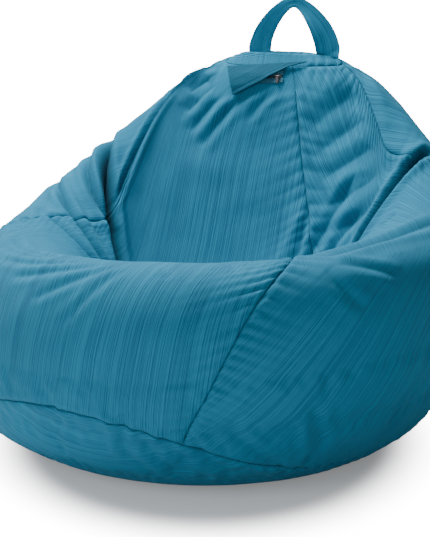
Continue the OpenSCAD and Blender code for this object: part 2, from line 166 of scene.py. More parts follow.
def net_cage(sizes):
    """The net's points in metres, with one extra ring beyond each end."""
    heights = [[0, 14, 21.5, 49, 80.5, 100],
               [0, sizes.base_seam, sizes.seat, sizes.arms, sizes.height, sizes.height + 0.195]]
    shifts = [[0, 35, 62, 76, 100],
              [0, sizes.slump, sizes.slump, sizes.slump + sizes.crest_shift, sizes.slump + sizes.crest_shift]]

    def placed(x, y, z):
        side = max(-1.0, min(1.0, x / 50)) * math.sin(math.pi * min(1.0, z / 80.5))
        return [x * sizes.width / 111.6 + np.interp(z, *shifts), y * sizes.depth / 110.9,
                np.interp(z, *heights) + sizes.lean * side]

    rings = []
    for half in NET:
        left = [[-x, y, z] for x, y, z in half[5:0:-1]]
        rings.append([placed(*p) for p in half + left])
    rings = np.array(rings)
    return np.concatenate([2 * rings[:1] - rings[1:2], rings, 2 * rings[-1:] - rings[-2:-1]])


def bag_surface(u, v):
    """Points and outward normals of the bag at stations u and rings v."""
    cage = bag_surface.cage
    u = np.asarray(u, float) % 12
    v = np.clip(np.asarray(v, float), 0, TOP_RING - 1e-6)
    i, j = np.floor(u).astype(int), np.floor(v).astype(int)

    def weights(t):
        return np.array([(1 - t) ** 3, 3 * t ** 3 - 6 * t * t + 4, -3 * t ** 3 + 3 * t * t + 3 * t + 1,
                         t ** 3]) / 6

    def slopes(t):
        return np.array([-(1 - t) ** 2, 3 * t * t - 4 * t, -3 * t * t + 2 * t + 1, t * t]) / 2

    wu, wv, su, sv = weights(u - i), weights(v - j), slopes(u - i), slopes(v - j)
    point, along_u, along_v = 0, 0, 0
    for b in range(4):
        for a in range(4):
            corner = cage[j + b, (i + a + 11) % 12]
            point = point + (wu[a] * wv[b])[..., None] * corner
            along_u = along_u + (su[a] * wv[b])[..., None] * corner
            along_v = along_v + (wu[a] * sv[b])[..., None] * corner
    return point, unit(np.cross(along_u, along_v))


def unit(vectors):
    return vectors / np.maximum(np.linalg.norm(vectors, axis=-1, keepdims=True), 1e-12)


def base_ring(u):
    ring = 4.2
    for station, reach, size in (BASE_RISE, BASE_DIP[:2] + (-BASE_DIP[2],)):
        ring = ring + size * np.exp(-(((np.asarray(u) - station + 6) % 12 - 6) / reach) ** 2)
    return ring


def crest_ring(u):
    return CREST_RING + CREST_RISE * (0.5 + 0.5 * np.cos(math.pi / 6 * (np.asarray(u) - 0.3))) ** 0.6


def seam_station(k, v):
    """Station of seam k at rings v, with the corners of its line eased."""
    rings, stations = SEAMS[k % 4]
    steps = np.linspace(-0.45, 0.45, 9)
    eased = np.mean([np.interp(np.asarray(v) + s, rings, stations) for s in steps], axis=0)
    return eased + (12 if k == 4 else 0)


# ---- Numbers in the pattern of the cloth ----

def smooth(t):
    t = np.clip(t, 0, 1)
    return t * t * (3 - 2 * t)


def cloth_noise(x, y, seed):
    """Smooth unevenness between -1 and 1, the same on each run."""
    table = np.random.default_rng(seed).uniform(-1, 1, (64, 64))
    i, j = np.floor(x).astype(int), np.floor(y).astype(int)
    s, t = smooth(x - i), smooth(y - j)

    def at(a, b):
        return table[(i + a) % 64, (j + b) % 64]

    return (at(0, 0) * (1 - s) + at(1, 0) * s) * (1 - t) + (at(0, 1) * (1 - s) + at(1, 1) * s) * t


# ---- Folds ----
# Each fold follows stations and rings over the bag: (line, depth, width, ridge) in millimetres.
# A positive depth is a crease and a negative one a ridge; ridge lifts the cloth on both sides.
# Each one bends through three places.
FOLDS = [
    # where the backrest meets the left arm, and the seam that runs into it
    ([(-4.2, 8.0), (-3.0, 9.9), (-1.9, 10.6)], 34, 11, 11),
    ([(-4.2, 11.5), (-3.5, 10.5), (-3.0, 10.0)], 9, 6, 5),
    # creases of the left arm that run down into the seat's corner
    ([(-3.9, 8.0), (-3.2, 9.1), (-2.7, 10.3)], 13, 9, 8),
    ([(-3.5, 7.6), (-2.8, 8.8), (-2.1, 10.0)], 13, 9, 9),
    ([(-2.8, 8.0), (-2.3, 9.0), (-1.9, 9.8)], 9, 9, 7),
    ([(-3.9, 7.2), (-3.1, 7.9), (-2.4, 8.0)], 6, 12, 4),
    ([(-2.5, 7.3), (-2.1, 7.2), (-1.7, 7.1)], 5, 12, 3),
    ([(-2.2, 6.6), (-1.8, 6.7), (-1.4, 6.7)], 4, 12, 3),
    # where the right arm meets the backrest, and the soft folds below it
    ([(4.0, 8.0), (3.1, 10.0), (1.5, 11.8)], 24, 10, 11),
    ([(1.5, 7.4), (2.3, 7.8), (3.1, 7.3)], 8, 12, 6),
    ([(1.6, 7.1), (1.9, 6.8), (2.1, 6.4)], 5, 10, 4),
    ([(1.5, 7.0), (1.6, 6.4), (1.8, 5.9)], 4, 11, 3),
    ([(1.9, 8.6), (2.5, 9.0), (3.0, 8.8)], 8, 12, 5),
    ([(1.7, 8.9), (2.3, 9.9), (2.5, 10.9)], 8, 13, 5),
    ([(3.3, 5.2), (3.6, 5.9), (3.8, 6.7)], 5, 18, 3),
    # beside the flap
    ([(-3.4, 14.9), (-3.8, 14.3), (-4.1, 13.6)], 7, 14, 5),
    ([(0.3, 15.1), (-0.2, 14.7), (-0.4, 14.2)], 5, 9, 4),
    # low on the right of the backrest
    ([(0.5, 11.8), (0.7, 12.3), (1.0, 12.8)], -5, 13, 0),
    ([(0.8, 11.7), (1.0, 12.3), (1.1, 12.9)], 5, 9, 4),
    # the lip over the seat
    ([(-0.4, 7.8), (0.5, 8.1), (1.4, 7.8)], 4, 16, 2),
    ([(0.2, 7.4), (0.3, 7.1), (0.3, 6.8)], 3.5, 9, 2),
    ([(0.7, 7.6), (0.8, 7.3), (0.8, 7.0)], 3.5, 9, 2),
]


def fan(count, first, last, deep, wide):
    """Folds spread evenly from the first line to the last, with their depths and widths."""
    for k in range(count):
        t = k / (count - 1)
        line = [tuple(a + (b - a) * t for a, b in zip(p, q)) for p, q in zip(first, last)]
        depth = deep[0] + (deep[1] - deep[0]) * t
        FOLDS.append((line, depth, wide[0] + (wide[1] - wide[0]) * t, 0.6 * depth))


# the fan of the left arm's front
fan(6, [(-2.1, 7.8), (-1.2, 7.5), (-0.4, 7.6)], [(-0.4, 5.8), (-0.2, 6.5), (0.0, 7.1)], (6, 3.5), (9, 8))
# folds that hang from the flap's lower corner and the crest
fan(4, [(-2.3, 15.2), (-2.8, 14.5), (-3.1, 13.8)], [(-0.6, 15.0), (-1.1, 14.3), (-1.4, 13.6)], (8, 6),
    (15, 10))
# tension lines that leave the backrest's right seam, and the sharper pulls below them
fan(5, [(0.9, 14.0), (1.9, 14.4), (2.9, 14.2)], [(1.6, 12.2), (2.5, 11.7), (3.4, 10.4)], (4, 5.5), (20, 15))
fan(2, [(1.1, 11.9), (1.8, 12.5), (2.5, 12.6)], [(1.3, 11.5), (2.0, 11.9), (2.7, 11.6)], (6, 5), (11, 9))
# small pulls along the base seam
fan(3, [(0.2, 4.4), (0.3, 4.0), (0.5, 3.5)], [(0.8, 4.4), (1.1, 3.9), (1.4, 3.4)], (4, 5), (12, 12))
fan(3, [(-1.2, 4.6), (-1.3, 4.2), (-1.4, 3.8)], [(1.4, 4.6), (1.5, 4.2), (1.6, 3.8)], (4, 4), (13, 13))
# the back and the far sides, high and low
fan(4, [(4.6, 7.0), (4.9, 7.6), (5.2, 8.3)], [(7.8, 6.7), (7.7, 7.4), (7.5, 8.2)], (6, 5), (16, 18))
fan(4, [(4.3, 9.6), (4.6, 10.8), (4.8, 12.2)], [(7.6, 9.4), (7.3, 11.0), (7.1, 12.6)], (7, 6), (16, 15))
fan(3, [(4.9, 4.6), (5.1, 5.4), (5.2, 6.1)], [(8.6, 5.0), (8.9, 5.8), (9.0, 6.6)], (4, 5), (17, 18))


def fold_lift(points, scale):
    """How far the folds lift the cloth at each point, in metres, and how much painted shade darkens its
    colour there, 0 to 1, in the deeper creases.
    """
    lift, shade = np.zeros(len(points)), np.zeros(len(points))
    for line, depth, width, ridge in FOLDS:
        start, middle, end = np.array(line, float)
        at = np.linspace(0, 1, 28)[:, None]
        bend = 2 * middle - (start + end) / 2
        places = (1 - at) ** 2 * start + 2 * at * (1 - at) * bend + at ** 2 * end
        path, _ = bag_surface(places[:, 0], places[:, 1])
        reach = width * 0.001 * 6
        near = np.all((points > path.min(0) - reach) & (points < path.max(0) + reach), axis=1)
        near = np.flatnonzero(near)
        if not len(near):
            continue
        spans = path[1:] - path[:-1]
        best = np.full(len(near), 9.0)
        share = np.zeros(len(near))
        for n, span in enumerate(spans):
            gap = points[near] - path[n]
            t = np.clip((gap @ span) / max(span @ span, 1e-12), 0, 1)
            away = np.linalg.norm(gap - t[:, None] * span, axis=1)
            closer = away < best
            best[closer] = away[closer]
            share[closer] = ((n + t) / len(spans))[closer]
        fade = np.sin(np.pi * np.clip(share, 0, 1)) ** 0.45 * smooth(share * 8) * smooth((1 - share) * 8)
        away = best / (width * 0.001)
        crease = -depth * np.exp(-np.abs(away) ** 1.15)
        side = ridge * np.exp(-((away - 2.1) / 1.25) ** 2)
        lift[near] += fade * (crease + side) * 0.001 * scale
        # Painted shade: the colour is darkened along the deeper creases, over a wider band along the deepest
        # ones.
        dark = fade * min(1.0, max(depth - 4, 0) / 20) * np.exp(-(away / (1.25 if depth > 20 else 0.75)) ** 2)
        shade[near] = np.maximum(shade[near], dark)
    return lift, shade


# ---- Cutting the panels ----

def run_lengths(points, axis):
    """How far each point lies from the first, along the points."""
    steps = np.linalg.norm(np.diff(points, axis=axis), axis=-1)
    zero = np.zeros_like(np.take(steps, [0], axis=axis))
    return np.cumsum(np.concatenate([zero, steps], axis=axis), axis=axis)


def even_rings(stations, low, high, count):
    """Rings from low to high whose spacing along the cloth is even."""
    fine = np.linspace(low, high, 500)
    points, _ = bag_surface(stations(fine), fine)
    run = run_lengths(points, 0)
    return np.interp(np.linspace(0, run[-1], count), run, fine)


PUCKER_SPACING = 0.027
PUCKER_REACH = 0.046  # how far from a seam the puckers fade
SEAM_ROLL = 0.0018  # the cloth stands up beside a seam
SEAM_GROOVE = 0.0026  # and sinks in along it
BULGES = [(-2.0, 1.5, 4.05, 0.85, 0.02), (1.8, 0.95, 15.0, 0.75, 0.011)]


def shaped(u, v, edge, along, look, pull=1.0):
    """Cover points at u, v: the bag, its folds, the simulated swell, the seams and their puckers; with the
    normals and the painted shade of its creases and seams.
    """
    points, normals = bag_surface(u, v)
    flat = points.reshape(-1, 3)
    lift, shade = (field.reshape(u.shape) for field in fold_lift(flat, look.fold_scale))
    # unevenness of the filling
    rough = cloth_noise(flat[:, 0] * 14 + 9, (flat[:, 1] + flat[:, 2]) * 14, 5).reshape(u.shape)
    fine = cloth_noise(flat[:, 0] * 31 + 3, (flat[:, 1] - flat[:, 2]) * 31, 8).reshape(u.shape)
    lift = lift + rough * 0.0016 + fine * 0.0007
    # puckers, which slant a little away from their seam
    droop = along + 0.35 * edge
    wave = droop / PUCKER_SPACING + 0.8 * cloth_noise(droop * 15, droop * 0 + 2.5, 11)
    pinch = np.exp(-edge / PUCKER_REACH) * (1 - np.exp(-edge / 0.004)) * pull
    strength = 0.85 + 0.4 * cloth_noise(along * 9, along * 0, 4)
    sharp = np.abs(np.sin(math.pi * wave)) ** 0.8 - 0.5
    lift = lift + look.pucker * sharp * pinch * strength * 2.1
    lift = lift + SEAM_ROLL * np.exp(-((edge - 0.012) / 0.01) ** 2)
    # two places where the filling pushes the cover out: station, reach, ring, reach, metres
    for station, wide, ring, high, size in BULGES:
        away = ((u + 6) % 12 - 6 - station) / wide
        lift = lift + size * np.exp(-away ** 2 - ((v - ring) / high) ** 2)
    lift = lift - SEAM_GROOVE * np.exp(-edge / 0.0035)
    lift = lift * np.where(v < 5, smooth(points[..., 2] / 0.05), 1)
    # flat where the zip and the flap lie
    bed = smooth((bed_distance(points) - 0.012) / 0.03)
    lift = np.where(lift > 0, lift * bed, lift * (0.25 + 0.75 * bed))
    # Painted shade: the creases' painted shade, weaker near the zip's bed, and a thin painted dark line along
    # every seam.
    shade = np.maximum(shade * (0.3 + 0.7 * bed), 0.4 * np.exp(-(edge / 0.0016) ** 2))
    return points + normals * lift[..., None] + swell_at(u, v) * bed[..., None], normals, shade


def grid_mesh(name, points, uvs, wrap=False, cap=None, shade=None):
    """A mesh of quads over rows of points, with a UV map in metres of cloth."""
    rows, cols = points.shape[:2]
    verts = points.reshape(-1, 3)
    j, i = np.meshgrid(np.arange(rows - 1), np.arange(cols if wrap else cols - 1), indexing="ij")
    a = (j * cols + i).ravel()
    b = (j * cols + (i + 1) % cols).ravel()
    faces = np.stack([a, b, b + cols, a + cols], axis=1)
    faces = faces.tolist()
    if cap is not None:
        for row in cap:
            ring = list(range(row * cols, (row + 1) * cols)) if row >= 0 else \
                list(range((rows - 1) * cols, rows * cols))
            faces.append(ring[::-1] if row >= 0 else ring)
    mesh = bpy.data.meshes.new(name)
    mesh.from_pydata(verts.tolist(), [], faces)
    layer = mesh.uv_layers.new(name="cloth")
    index = np.empty(len(mesh.loops), dtype=np.int32)
    mesh.loops.foreach_get("vertex_index", index)
    layer.data.foreach_set("uv", uvs.reshape(-1, 2)[index].ravel().astype(np.float32))
    # The painted shade of creases and seams, kept on each point for the cloth's colour.
    if shade is not None:
        mesh.attributes.new("crease_shade", "FLOAT", "POINT").data.foreach_set(
            "value", shade.ravel().astype(np.float32))
    mesh.polygons.foreach_set("use_smooth", np.ones(len(mesh.polygons), dtype=bool))
    mesh.update()
    piece = bpy.data.objects.new(name, mesh)
    bpy.context.scene.collection.objects.link(piece)
    return piece


SEAM_PATHS = []  # the lines of the finished seams, for their thread


def thickened(piece, thickness):
    solid = piece.modifiers.new("cloth thickness", "SOLIDIFY")
    solid.thickness = thickness
    solid.offset = -1
    return piece


# The seam allowance turned in under an edge: how far it goes along the cloth and how deep
TUCK = ((0.0006, 0.0022), (0.0022, 0.0048), (0.005, 0.0066))


def tucked(points, normals, uvs, side):
    """Adds the turned-in seam allowance beyond one side column of a panel."""
    column = points[:, side]
    inward = unit(points[:, 1 if side == 0 else -2] - column)
    extra = []
    for out, down in TUCK:
        extra.append(column + inward * out - normals[:, side] * down)
    extra = np.stack(extra if side == -1 else extra[::-1], axis=1)
    pad = np.repeat(uvs[:, side:side + 1] if side == 0 else uvs[:, -1:], 3, axis=1)
    both = ([extra, points], [pad, uvs]) if side == 0 else ([points, extra], [uvs, pad])
    return np.concatenate(both[0], axis=1), np.concatenate(both[1], axis=1)


# ---- The flat bed on the crest, which carries the zip and the flap ----

def joint_place(name):
    return next(joint["pos_m"] for joint in frame["joints"] if joint["name"] == name)


BED_SLOPE, BED_TILT = math.radians(63), math.radians(6)
BED_OUT = np.array([0, -math.sin(BED_SLOPE), math.cos(BED_SLOPE)])
BED_RIGHT = np.array([math.cos(BED_TILT), math.sin(BED_TILT) * math.cos(BED_SLOPE),
                      math.sin(BED_TILT) * math.sin(BED_SLOPE)])
BED_UP = np.cross(BED_OUT, BED_RIGHT)
HINGE_LIFT = 0.0026  # the flap's hinge lies this far outside the bed
BED = np.array(joint_place("flap_lift")) - HINGE_LIFT * BED_OUT


def bed_distance(points):
    """How far points lie outside the patch of the crest that carries the zip."""
    d = points - BED
    x, y, z = d @ BED_RIGHT, d @ BED_UP, d @ BED_OUT
    gx = np.maximum(np.abs(x + 0.02) - 0.085, 0)
    gy = np.maximum(np.abs(y + 0.024) - 0.026, 0)
    gz = np.maximum(np.abs(z) - 0.02, 0)
    return np.sqrt(gx ** 2 + gy ** 2 + gz ** 2)


def on_bed(x, y, z):
    """The points that lie x right, y up and z outside the bed's middle."""
    return BED + sum(np.multiply.outer(a, way) for a, way in ((x, BED_RIGHT), (y, BED_UP), (z, BED_OUT)))


# ---- The simulated swell of the cover ----
SWELL_COLS = 216
SWELL_ROWS = 170


def swell_at(u, v):
    """The simulated move of the cover at stations u and rings v, smoothly between its points."""
    field = swell_at.field
    if field is None:
        return np.zeros(np.shape(u) + (3,))
    x = (np.asarray(u) % 12) / 12 * SWELL_COLS
    y = np.interp(v, swell_at.rings, np.arange(SWELL_ROWS))
    i, j = np.floor(x).astype(int), np.clip(np.floor(y).astype(int), 0, SWELL_ROWS - 2)
    s, t = x - i, y - j

    def bend(f):
        return np.array([-f ** 3 + 2 * f ** 2 - f, 3 * f ** 3 - 5 * f ** 2 + 2, -3 * f ** 3 + 4 * f ** 2 + f,
                         f ** 3 - f ** 2]) / 2

    ws, wt = bend(s), bend(t)
    total = np.zeros(np.shape(u) + (3,))
    for b in range(4):
        row = np.clip(j + b - 1, 0, SWELL_ROWS - 1)
        for a in range(4):
            total += (ws[a] * wt[b])[..., None] * field[row, (i + a - 1) % SWELL_COLS]
    return total


swell_at.field = None
swell_at.rings = None


TRIAL_FRAMES = 20
TRIAL_CLOTH = {
    "quality": 5, "mass": 0.3, "tension_stiffness": 18, "compression_stiffness": 18, "shear_stiffness": 6,
    "bending_stiffness": 0.35, "tension_damping": 6, "compression_damping": 6, "shear_damping": 6,
    "bending_damping": 0.6, "use_pressure": True, "uniform_pressure_force": 4, "shrink_min": -0.025,
    "shrink_max": -0.025, "vertex_group_mass": "held", "pin_stiffness": 1.2,
}


def simulate_swell(look):
    """Lets a copy of the whole cover, cut a little too large, settle over its filling."""
    rings = even_rings(lambda v: v * 0 + 1.0, 1.2, 15.75, SWELL_ROWS)
    stations = np.arange(SWELL_COLS) * 12 / SWELL_COLS
    v, u = np.meshgrid(rings, stations, indexing="ij")
    points, normals = bag_surface(u, v)
    flat = points.reshape(-1, 3)
    lift = fold_lift(flat, look.fold_scale)[0].reshape(u.shape)
    start = points + normals * (lift * smooth(points[..., 2] / 0.05))[..., None]
    copy = grid_mesh("cover_trial", start, np.zeros(start.shape[:2] + (2,)), wrap=True, cap=(0, -1))
    hold = np.full(u.shape, 0.05)
    hold = np.maximum(hold, 1 - smooth((points[..., 2] - 0.03) / 0.05) * (v < 5))
    hold = np.where((v < 5) & (points[..., 2] < 0.03), 1.0, hold)
    hold = np.maximum(hold, smooth((v - 14.9) / 0.5))
    hold = np.maximum(hold, 1 - smooth(bed_distance(points) / 0.03))
    for k in range(4):
        gap = np.abs((u - seam_station(k, v) + 6) % 12 - 6) * 0.28
        hold = np.maximum(hold, 0.55 * np.exp(-(gap / 0.02) ** 2))
    hold = np.maximum(hold, 0.5 * np.exp(-((v - BASE_RING) / 0.12) ** 2))
    group = copy.vertex_groups.new(name="held")
    for n, weight in enumerate(np.round(hold.ravel(), 2)):
        group.add([n], float(weight), "REPLACE")
    cloth = copy.modifiers.new("settle", "CLOTH")
    for name, value in TRIAL_CLOTH.items():
        setattr(cloth.settings, name, value)
    cloth.settings.effector_weights.gravity = 0
    cloth.point_cache.frame_start = 1
    cloth.point_cache.frame_end = TRIAL_FRAMES
    cloth.collision_settings.use_collision = False
    scene = bpy.context.scene
    for f in range(1, TRIAL_FRAMES + 1):
        scene.frame_set(f)
    settled = copy.evaluated_get(bpy.context.evaluated_depsgraph_get()).to_mesh()
    out = np.empty(len(settled.vertices) * 3)
    settled.vertices.foreach_get("co", out)
    move = out.reshape(start.shape) - start
    copy.evaluated_get(bpy.context.evaluated_depsgraph_get()).to_mesh_clear()
    scene.frame_set(1)
    bpy.data.meshes.remove(copy.data)
    size = np.linalg.norm(move, axis=-1, keepdims=True)
    move = move * np.minimum(1, look.swell / np.maximum(size, 1e-9))
    low = smooth((start[..., 2:3] - 0.012) / 0.04)
    move = np.where(v[..., None] < 5, move * low, move)
    swell_at.field, swell_at.rings = move, rings


# ---- Materials ----

def feed(tree, node, values):
    """Links or sets a node's inputs, by name or by number."""
    for key, value in values.items():
        if isinstance(value, bpy.types.NodeSocket):
            tree.links.new(value, node.inputs[key])
        elif value is not None:
            node.inputs[key].default_value = value
    return node


def add_node(tree, kind, values=None, **settings):
    node = tree.nodes.new("ShaderNode" + kind)
    for key, value in settings.items():
        setattr(node, key, value)
    return feed(tree, node, values or {})


def new_material(name):
    material = bpy.data.materials.new(name)
    material.use_nodes = True
    tree = material.node_tree
    tree.nodes.clear()
    shader = add_node(tree, "BsdfPrincipled")
    add_node(tree, "OutputMaterial", {"Surface": shader.outputs["BSDF"]})
    return material, shader


def math_node(tree, operation, a, b=None, c=None):
    return add_node(tree, "Math", {0: a, 1: b, 2: c}, operation=operation).outputs[0]


def map_range(tree, value, low, high, out_low=0.0, out_high=1.0):
    values = {"Value": value, "From Min": low, "From Max": high, "To Min": out_low, "To Max": out_high}
    return add_node(tree, "MapRange", values, interpolation_type="SMOOTHSTEP").outputs["Result"]


def mix_colours(tree, factor, a, b):
    return add_node(tree, "Mix", {"Factor": factor, 6: a, 7: b}, data_type="RGBA").outputs[2]


def cloth_texture(tree, place, scale, detail, roughness=0.5):
    values = {"Vector": place, "Scale": scale, "Detail": detail, "Roughness": roughness}
    return add_node(tree, "TexNoise", values, noise_dimensions="2D").outputs["Fac"]


def add_relief(tree, shader, height, distance, strength=1.0, invert=False):
    relief = add_node(tree, "Bump", {"Height": height, "Distance": distance, "Strength": strength},
                      invert=invert)
    feed(tree, shader, {"Normal": relief.outputs["Normal"]})


def ribbed_cloth_group():
    """Shader group: irregular ribs along V of the cloth's own map, with a fine cross thread."""
    if "Ribbed cloth" in bpy.data.node_groups:
        return bpy.data.node_groups["Ribbed cloth"]
    tree = bpy.data.node_groups.new("Ribbed cloth", "ShaderNodeTree")
    sockets = [("Cloth map", "INPUT", "Vector"), ("Ribs per metre", "INPUT", "Float"),
               ("Rib top", "INPUT", "Color"), ("Rib valley", "INPUT", "Color"), ("Colour", "OUTPUT", "Color"),
               ("Roughness", "OUTPUT", "Float"), ("Height", "OUTPUT", "Float")]
    for name, way, kind in sockets:
        tree.interface.new_socket(name, in_out=way, socket_type="NodeSocket" + kind)
    start = tree.nodes.new("NodeGroupInput").outputs
    end = tree.nodes.new("NodeGroupOutput")
    split = add_node(tree, "SeparateXYZ", {0: start["Cloth map"]})
    across, along = split.outputs[0], split.outputs[1]

    def times(a, b):
        return math_node(tree, "MULTIPLY", a, b)

    def plus(a, b):
        return math_node(tree, "ADD", a, b)

    def swing(value, size):
        """The value's move away from one half, times size."""
        return times(math_node(tree, "SUBTRACT", value, 0.5), size)

    def stripes(scale, stretch):
        """Stripes that change slowly along their length."""
        join = add_node(tree, "CombineXYZ", {0: times(lane, scale), 1: times(along, stretch)})
        return cloth_texture(tree, join.outputs[0], 1.0, 0.0, 0.6)

    def pinstripe(offset, width):
        """Thin lines at irregular distances."""
        values = {"Scale": 1.0, "Randomness": 0.9, "W": math_node(tree, "MULTIPLY_ADD", lane, pitch, offset)}
        cells = add_node(tree, "TexVoronoi", {}, voronoi_dimensions="1D", feature="DISTANCE_TO_EDGE")
        feed(tree, cells, values)
        return map_range(tree, cells.outputs["Distance"], 0.0, width, 1.0, 0.0)

    pitch = start["Ribs per metre"]
    lane = plus(across, swing(cloth_texture(tree, start["Cloth map"], 4, 2), 0.005))
    strength = map_range(tree, stripes(times(pitch, 0.8), 2.0), 0.35, 0.65, 0.25, 1.0)
    dark_line = times(pinstripe(0.0, 0.17), strength)
    light_line = times(pinstripe(0.25, 0.15), strength)
    narrow_line = map_range(tree, stripes(times(pitch, 2.5), 2.0), 0.34, 0.62)
    hair_line = map_range(tree, stripes(times(pitch, 4.6), 14.0), 0.3, 0.7)
    ribs = plus(times(narrow_line, 0.3), times(hair_line, 0.14))
    ribs = math_node(tree, "MULTIPLY_ADD", light_line, 0.3, ribs)
    ribs = math_node(tree, "MULTIPLY_ADD", dark_line, -0.38, ribs)
    ribs = plus(ribs, 0.3)
    cross = cloth_texture(tree, start["Cloth map"], 900, 1)
    patch = cloth_texture(tree, start["Cloth map"], 5, 4)
    shade = plus(plus(ribs, swing(patch, 0.16)), swing(cross, 0.3))
    blend = map_range(tree, shade, -0.1, 1.1)
    feed(tree, end, {"Colour": mix_colours(tree, blend, start["Rib valley"], start["Rib top"]),
                     "Roughness": map_range(tree, shade, 0.0, 1.0, 0.95, 0.8),
                     "Height": plus(ribs, times(cross, 0.12))})
    return tree


def ribbed_material(name, look, tone=1.0, bump=0.0011, pitch=1.0):
    """The cover's ribbed cloth; tone lightens or darkens its two colours, and each point's painted shade
    darkens it further.
    """
    material, shader = new_material(name)
    tree = material.node_tree
    uv = add_node(tree, "UVMap", uv_map="cloth")
    group = tree.nodes.new("ShaderNodeGroup")
    group.node_tree = ribbed_cloth_group()
    feed(tree, group, {"Cloth map": uv.outputs["UV"], "Ribs per metre": pitch / look.rib_pitch,
                       "Rib top": (*(c * tone for c in look.ridge_colour), 1),
                       "Rib valley": (*(c * tone for c in look.valley_colour), 1)})
    # Painted shade: the colour is mixed towards an almost black copy of the valley colour in creases, along
    # seams and in the turned-in seam allowances.
    crease = add_node(tree, "Attribute", attribute_name="crease_shade")
    deep = (*(c * 0.12 for c in look.valley_colour), 1)
    depth = math_node(tree, "MULTIPLY", crease.outputs["Fac"], 0.9)
    feed(tree, shader, {"Base Color": mix_colours(tree, depth, group.outputs["Colour"], deep),
                        "Roughness": group.outputs["Roughness"], "Sheen Weight": 0.06,
                        "Sheen Roughness": 0.4, "Sheen Tint": (0.45, 0.85, 1.0, 1),
                        "Specular IOR Level": 0.1})
    add_relief(tree, shader, group.outputs["Height"], bump, 0.75)
    return material


def object_noise(tree, scale, detail=2.0):
    place = add_node(tree, "TexCoord").outputs["Object"]
    return add_node(tree, "TexNoise", {"Scale": scale, "Detail": detail, "Vector": place}).outputs["Fac"]


def grained_material(name, dark, light, scale, roughness, bump, metallic=0.0):
    """A material with fine grain in its colour, roughness and relief."""
    material, shader = new_material(name)
    tree = material.node_tree
    grain = object_noise(tree, scale, 3.0)
    patch = object_noise(tree, scale / 9, 2.0)
    mixed = math_node(tree, "ADD", math_node(tree, "MULTIPLY", grain, 0.6),
                      math_node(tree, "MULTIPLY", patch, 0.4))
    colour = mix_colours(tree, map_range(tree, mixed, 0.3, 0.7), (*dark, 1), (*light, 1))
    feed(tree, shader, {"Base Color": colour, "Metallic": metallic,
                        "Roughness": map_range(tree, mixed, 0.3, 0.7, roughness + 0.08, roughness - 0.08)})
    add_relief(tree, shader, grain, bump, 0.5)
    return material


def dress(piece, material):
    piece.data.materials.clear()
    piece.data.materials.append(material)


def dress_node(name, material):
    """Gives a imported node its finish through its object's own material slots."""
    node = frame["nodes"][name]
    if not node.material_slots:
        node.data.materials.append(material)
    for slot in node.material_slots:
        slot.link = "OBJECT"
        slot.material = material
    return node


# ---- Operators ----

class BAG_OT_settle(bpy.types.Operator):
    """Work out the bag's surface and let its cover settle over the filling"""
    bl_idname = "bag.settle"
    bl_label = "Settle the cover"

    def execute(self, context):
        bag_surface.cage = net_cage(context.scene.bag_sizes)
        simulate_swell(context.scene.bag_cover)
        return {"FINISHED"}


class BAG_OT_side_panels(bpy.types.Operator):
    """Sew the four side panels between the base and the top"""
    bl_idname = "bag.side_panels"
    bl_label = "Side panels"
    rows: IntProperty(name="Rows", description="Points along a panel", default=345)
    columns: IntProperty(name="Columns", description="Points across a panel", default=126)

    def execute(self, context):
        look = context.scene.bag_cover
        cloth = ribbed_material("ribbed cover cloth", look)
        for k, name in enumerate(PANELS):
            rings = even_rings(lambda v: (seam_station(k, v) + seam_station(k + 1, v)) / 2, BASE_RING,
                               CREST_RING, self.rows)
            # the columns crowd at the seams, where the cloth turns in sharply
            rim = np.array([0, 0.0015, 0.004])
            across = np.concatenate([rim, np.linspace(0.009, 0.991, self.columns - 6), 1 - rim[::-1]])
            v = np.repeat(rings[:, None], self.columns, axis=1)
            first, last = seam_station(k, v), seam_station(k + 1, v)
            u = first + (last - first) * across
            v = v + (base_ring(u) - BASE_RING) * (1 - smooth((v - BASE_RING) / 2.2))
            v = v + (crest_ring(u) - CREST_RING) * smooth((v - 13.2) / (CREST_RING - 13.2))
            plain, _ = bag_surface(u, v)
            widths = run_lengths(plain, 1)
            lengths = run_lengths(plain, 0)
            middle = self.columns // 2
            to_side = np.minimum(widths, widths[:, -1:] - widths)
            to_end = np.minimum(lengths, lengths[-1:] - lengths)
            edge = np.minimum(to_side, to_end)
            along = np.where(to_side < to_end, lengths[:, middle:middle + 1], widths + 2 * k)
            pull = np.where(to_side < to_end, 1 - 0.65 * smooth((v - 7.6) / 1.2), 0.4)
            points, normals, shade = shaped(u, v, edge, along, look, pull)
            grain = np.interp(rings, *GRAINS[k])
            to_grain = np.array([np.interp(g, row, width) for g, row, width in zip(grain, u, widths)])
            run = lengths[:, middle:middle + 1] + np.zeros_like(widths)
            uvs = np.stack([widths - to_grain[:, None] + 3 * k, run], axis=-1)
            SEAM_PATHS.append(points[:, 0] - normals[:, 0] * 0.0014)
            points, uvs = tucked(points, normals, uvs, 0)
            points, uvs = tucked(points, normals, uvs, -1)
            # Painted shade: the turned-in seam allowance beyond each side is painted fully dark.
            shade = np.pad(shade, ((0, 0), (3, 3)), constant_values=1)
            piece = thickened(grid_mesh("cover_" + name, points, uvs, shade=shade), look.cloth_thickness)
            dress(piece, cloth)
            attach(piece, "bag")
            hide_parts(name)
        return {"FINISHED"}


